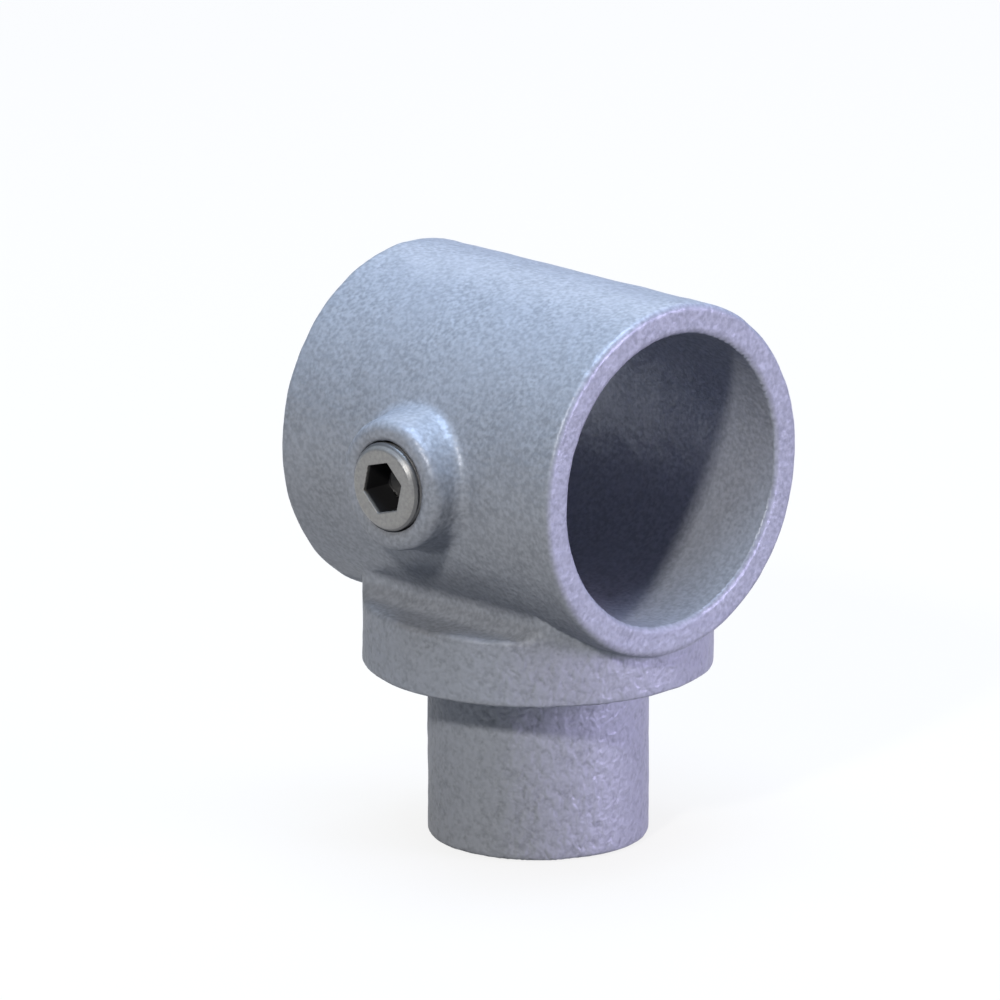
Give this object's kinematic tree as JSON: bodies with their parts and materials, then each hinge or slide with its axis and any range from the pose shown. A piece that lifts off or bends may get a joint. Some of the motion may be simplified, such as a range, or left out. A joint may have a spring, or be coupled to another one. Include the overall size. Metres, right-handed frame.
{
  "type": "tube clamp tee fitting",
  "caption": "Tube clamp tee: a ring that grips one tube with a set screw, above a collar and a hollow spigot that plugs into the end of another tube.",
  "frame": {"origin": "where the axis of the gripped tube meets the axis of the spigot, at the middle of the ring's bore", "axes": "+X along the gripped tube, +Z away from the spigot, and the set screw's boss faces -Y"},
  "size_m": [0.0626, 0.0666, 0.0967],
  "materials": {
    "galvanised_iron": "hot-dip galvanised, fine matt mottle",
    "plated_steel": "zinc plated, satin"
  },
  "bodies": {
    "root": {"clamp_body": "galvanised_iron", "set_screw": "plated_steel"}
  },
  "joints": []
}
